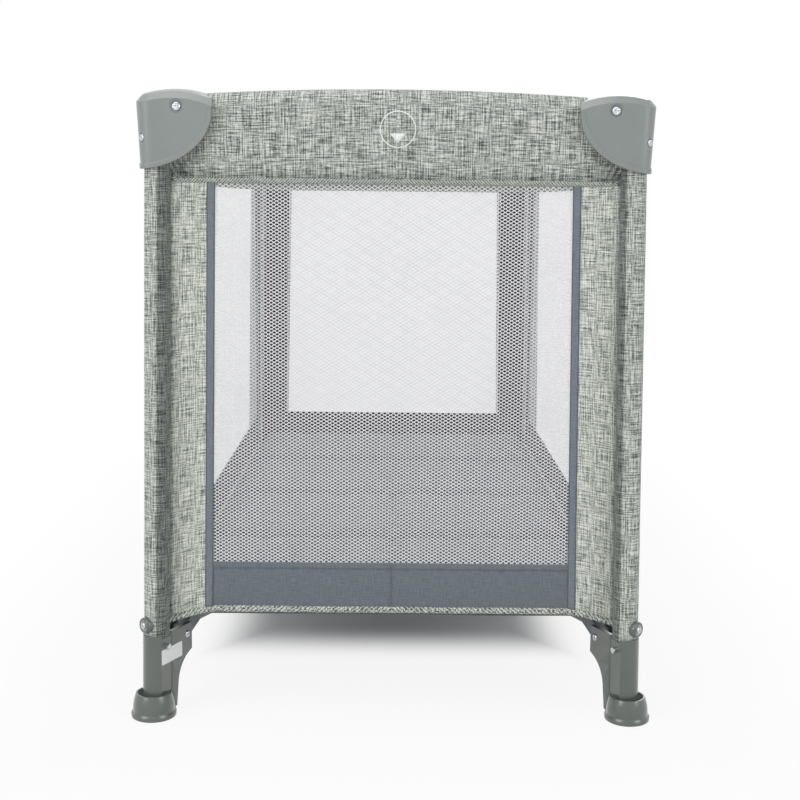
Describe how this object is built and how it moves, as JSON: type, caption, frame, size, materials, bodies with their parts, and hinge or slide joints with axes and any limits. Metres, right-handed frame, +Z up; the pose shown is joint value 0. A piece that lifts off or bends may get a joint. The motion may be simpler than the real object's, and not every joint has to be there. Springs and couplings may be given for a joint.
{
  "type": "playpen",
  "caption": "Folding travel cot: rectangular fabric pen with net windows, padded rails with centre latches, splayed posts and a floor frame that folds to a central hub.",
  "frame": {"origin": "on the floor, at the centre of the footprint", "axes": "+Z up, +Y along the cot towards its back end, +X across it to the right as seen from the front end"},
  "size_m": [0.6402, 1.2402, 0.76],
  "materials": {
    "corner_plastic": "smooth satin grey moulding",
    "steel_tube": "grey powder coat",
    "leg_plastic": "satin mid-grey moulding",
    "zinc_screw": "bright zinc plate",
    "heather_fabric": "heather-grey linen-look weave",
    "mesh_net": "fine white knitted net with small holes",
    "arm_paint": "grey powder coat",
    "hub_plastic": "dark grey moulding",
    "button_plastic": "red moulding",
    "strap_webbing": "woven webbing",
    "grey_cloth": "grey woven tape",
    "mat_fabric": "quilted grey cloth",
    "board": "plain hardboard"
  },
  "bodies": {
    "hub": {"hub": "hub_plastic", "hub_foot": "leg_plastic", "hub_pins": "zinc_screw", "pull_strap": "strap_webbing"},
    "mat": {"floor_mat": "mat_fabric", "mat_boards": "board", "floor_sheet": "grey_cloth"},
    "arm_front_left": {"floor_arm_front_left": "arm_paint"},
    "leg_front_left": {"corner_housing_front_left": "corner_plastic", "post_front_left": "steel_tube", "foot_housing_front_left": "leg_plastic", "leg_fasteners_front_left": "zinc_screw", "wall_cloth_front_left": "heather_fabric", "net_window_front_left": "mesh_net"},
    "end_rail_front_left": {"end_rail_front_left": "steel_tube", "end_cover_front_left": "heather_fabric"},
    "side_rail_front_left": {"side_rail_front_left": "steel_tube", "side_cover_front_left": "heather_fabric"},
    "arm_front_right": {"floor_arm_front_right": "arm_paint"},
    "leg_front_right": {"corner_housing_front_right": "corner_plastic", "post_front_right": "steel_tube", "foot_housing_front_right": "leg_plastic", "leg_fasteners_front_right": "zinc_screw", "wall_cloth_front_right": "heather_fabric", "net_window_front_right": "mesh_net"},
    "end_rail_front_right": {"end_rail_front_right": "steel_tube", "end_cover_front_right": "heather_fabric"},
    "side_rail_front_right": {"side_rail_front_right": "steel_tube", "side_cover_front_right": "heather_fabric"},
    "arm_back_left": {"floor_arm_back_left": "arm_paint"},
    "leg_back_left": {"corner_housing_back_left": "corner_plastic", "post_back_left": "steel_tube", "foot_housing_back_left": "leg_plastic", "leg_fasteners_back_left": "zinc_screw", "wall_cloth_back_left": "heather_fabric", "net_window_back_left": "mesh_net"},
    "end_rail_back_left": {"end_rail_back_left": "steel_tube", "end_cover_back_left": "heather_fabric"},
    "side_rail_back_left": {"side_rail_back_left": "steel_tube", "side_cover_back_left": "heather_fabric"},
    "arm_back_right": {"floor_arm_back_right": "arm_paint"},
    "leg_back_right": {"corner_housing_back_right": "corner_plastic", "post_back_right": "steel_tube", "foot_housing_back_right": "leg_plastic", "leg_fasteners_back_right": "zinc_screw", "wall_cloth_back_right": "heather_fabric", "net_window_back_right": "mesh_net"},
    "end_rail_back_right": {"end_rail_back_right": "steel_tube", "end_cover_back_right": "heather_fabric"},
    "side_rail_back_right": {"side_rail_back_right": "steel_tube", "side_cover_back_right": "heather_fabric"},
    "end_latch_front": {"end_latch_front": "hub_plastic"},
    "end_latch_back": {"end_latch_back": "hub_plastic"},
    "side_latch_left": {"side_latch_left": "hub_plastic"},
    "side_latch_right": {"side_latch_right": "hub_plastic"},
    "end_button_front": {"end_button_front": "button_plastic"},
    "end_button_back": {"end_button_back": "button_plastic"},
    "side_button_left": {"side_button_left": "button_plastic"},
    "side_button_right": {"side_button_right": "button_plastic"}
  },
  "joints": [
    {"name": "fold_front_left", "type": "hinge", "parent": "hub", "child": "arm_front_left", "pos_m": [-0.02983, -0.04646, 0.091], "axis": [0.9026, -0.4304, 0], "range_deg": [0, 80], "deforming": ["wall_cloth_front_left", "wall_cloth_front_right", "wall_cloth_back_left", "wall_cloth_back_right", "net_window_front_left", "net_window_front_right", "net_window_back_left", "net_window_back_right", "end_cover_front_left", "end_cover_front_right", "end_cover_back_left", "end_cover_back_right", "side_cover_front_left", "side_cover_front_right", "side_cover_back_left", "side_cover_back_right", "floor_sheet", "floor_mat", "mat_boards"]},
    {"name": "foot_front_left", "type": "hinge", "parent": "arm_front_left", "child": "leg_front_left", "pos_m": [-0.26683, -0.54346, 0.091], "axis": [0.9026, -0.4304, 0], "range_deg": [-80, 0]},
    {"name": "end_rail_front_left", "type": "hinge", "parent": "leg_front_left", "child": "end_rail_front_left", "pos_m": [-0.253, -0.578, 0.7365], "axis": [0, 1, 0], "range_deg": [0, 80]},
    {"name": "side_rail_front_left", "type": "hinge", "parent": "leg_front_left", "child": "side_rail_front_left", "pos_m": [-0.278, -0.553, 0.7365], "axis": [-1, 0, 0], "range_deg": [0, 80]},
    {"name": "fold_front_right", "type": "hinge", "parent": "hub", "child": "arm_front_right", "pos_m": [0.02983, -0.04646, 0.091], "axis": [0.9026, 0.4304, 0], "range_deg": [0, 80]},
    {"name": "foot_front_right", "type": "hinge", "parent": "arm_front_right", "child": "leg_front_right", "pos_m": [0.26683, -0.54346, 0.091], "axis": [0.9026, 0.4304, 0], "range_deg": [-80, 0]},
    {"name": "end_rail_front_right", "type": "hinge", "parent": "leg_front_right", "child": "end_rail_front_right", "pos_m": [0.253, -0.578, 0.7365], "axis": [0, -1, 0], "range_deg": [0, 80]},
    {"name": "side_rail_front_right", "type": "hinge", "parent": "leg_front_right", "child": "side_rail_front_right", "pos_m": [0.278, -0.553, 0.7365], "axis": [-1, 0, 0], "range_deg": [0, 80]},
    {"name": "fold_back_left", "type": "hinge", "parent": "hub", "child": "arm_back_left", "pos_m": [-0.02983, 0.04646, 0.091], "axis": [-0.9026, -0.4304, 0], "range_deg": [0, 80]},
    {"name": "foot_back_left", "type": "hinge", "parent": "arm_back_left", "child": "leg_back_left", "pos_m": [-0.26683, 0.54346, 0.091], "axis": [-0.9026, -0.4304, 0], "range_deg": [-80, 0]},
    {"name": "end_rail_back_left", "type": "hinge", "parent": "leg_back_left", "child": "end_rail_back_left", "pos_m": [-0.253, 0.578, 0.7365], "axis": [0, 1, 0], "range_deg": [0, 80]},
    {"name": "side_rail_back_left", "type": "hinge", "parent": "leg_back_left", "child": "side_rail_back_left", "pos_m": [-0.278, 0.553, 0.7365], "axis": [1, 0, 0], "range_deg": [0, 80]},
    {"name": "fold_back_right", "type": "hinge", "parent": "hub", "child": "arm_back_right", "pos_m": [0.02983, 0.04646, 0.091], "axis": [-0.9026, 0.4304, 0], "range_deg": [0, 80]},
    {"name": "foot_back_right", "type": "hinge", "parent": "arm_back_right", "child": "leg_back_right", "pos_m": [0.26683, 0.54346, 0.091], "axis": [-0.9026, 0.4304, 0], "range_deg": [-80, 0]},
    {"name": "end_rail_back_right", "type": "hinge", "parent": "leg_back_right", "child": "end_rail_back_right", "pos_m": [0.253, 0.578, 0.7365], "axis": [0, -1, 0], "range_deg": [0, 80]},
    {"name": "side_rail_back_right", "type": "hinge", "parent": "leg_back_right", "child": "side_rail_back_right", "pos_m": [0.278, 0.553, 0.7365], "axis": [1, 0, 0], "range_deg": [0, 80]},
    {"name": "end_latch_front", "type": "hinge", "parent": "end_rail_front_left", "child": "end_latch_front", "pos_m": [-0.016, -0.578, 0.7365], "axis": [0, 1, 0], "range_deg": [-80, 0]},
    {"name": "end_latch_back", "type": "hinge", "parent": "end_rail_back_left", "child": "end_latch_back", "pos_m": [-0.016, 0.578, 0.7365], "axis": [0, 1, 0], "range_deg": [-80, 0]},
    {"name": "side_latch_left", "type": "hinge", "parent": "side_rail_front_left", "child": "side_latch_left", "pos_m": [-0.278, -0.056, 0.7365], "axis": [-1, 0, 0], "range_deg": [-80, 0]},
    {"name": "side_latch_right", "type": "hinge", "parent": "side_rail_front_right", "child": "side_latch_right", "pos_m": [0.278, -0.056, 0.7365], "axis": [-1, 0, 0], "range_deg": [-80, 0]},
    {"name": "end_button_front", "type": "slide", "parent": "end_latch_front", "child": "end_button_front", "axis": [0, 0, 1], "range_m": [0, 0.004], "stiffness_N_per_m": 300, "springref_m": -0.002},
    {"name": "end_button_back", "type": "slide", "parent": "end_latch_back", "child": "end_button_back", "axis": [0, 0, 1], "range_m": [0, 0.004], "stiffness_N_per_m": 300, "springref_m": -0.002},
    {"name": "side_button_left", "type": "slide", "parent": "side_latch_left", "child": "side_button_left", "axis": [0, 0, 1], "range_m": [0, 0.004], "stiffness_N_per_m": 300, "springref_m": -0.002},
    {"name": "side_button_right", "type": "slide", "parent": "side_latch_right", "child": "side_button_right", "axis": [0, 0, 1], "range_m": [0, 0.004], "stiffness_N_per_m": 300, "springref_m": -0.002},
    {"name": "mat_lift", "type": "slide", "parent": "hub", "child": "mat", "axis": [0, 0, 1], "range_m": [0, 0.135]}
  ],
  "couplings": [
    {"joint": "foot_front_left", "follows": "fold_front_left", "ratio": -1},
    {"joint": "end_rail_front_left", "follows": "fold_front_left", "ratio": 1},
    {"joint": "side_rail_front_left", "follows": "fold_front_left", "ratio": 1},
    {"joint": "fold_front_right", "follows": "fold_front_left", "ratio": 1},
    {"joint": "foot_front_right", "follows": "fold_front_left", "ratio": -1},
    {"joint": "end_rail_front_right", "follows": "fold_front_left", "ratio": 1},
    {"joint": "side_rail_front_right", "follows": "fold_front_left", "ratio": 1},
    {"joint": "fold_back_left", "follows": "fold_front_left", "ratio": 1},
    {"joint": "foot_back_left", "follows": "fold_front_left", "ratio": -1},
    {"joint": "end_rail_back_left", "follows": "fold_front_left", "ratio": 1},
    {"joint": "side_rail_back_left", "follows": "fold_front_left", "ratio": 1},
    {"joint": "fold_back_right", "follows": "fold_front_left", "ratio": 1},
    {"joint": "foot_back_right", "follows": "fold_front_left", "ratio": -1},
    {"joint": "end_rail_back_right", "follows": "fold_front_left", "ratio": 1},
    {"joint": "side_rail_back_right", "follows": "fold_front_left", "ratio": 1},
    {"joint": "end_latch_front", "follows": "fold_front_left", "ratio": -1},
    {"joint": "end_latch_back", "follows": "fold_front_left", "ratio": -1},
    {"joint": "side_latch_left", "follows": "fold_front_left", "ratio": -1},
    {"joint": "side_latch_right", "follows": "fold_front_left", "ratio": -1},
    {"joint": "mat_lift", "follows": "fold_front_left", "m_per_rad": 0.09}
  ]
}
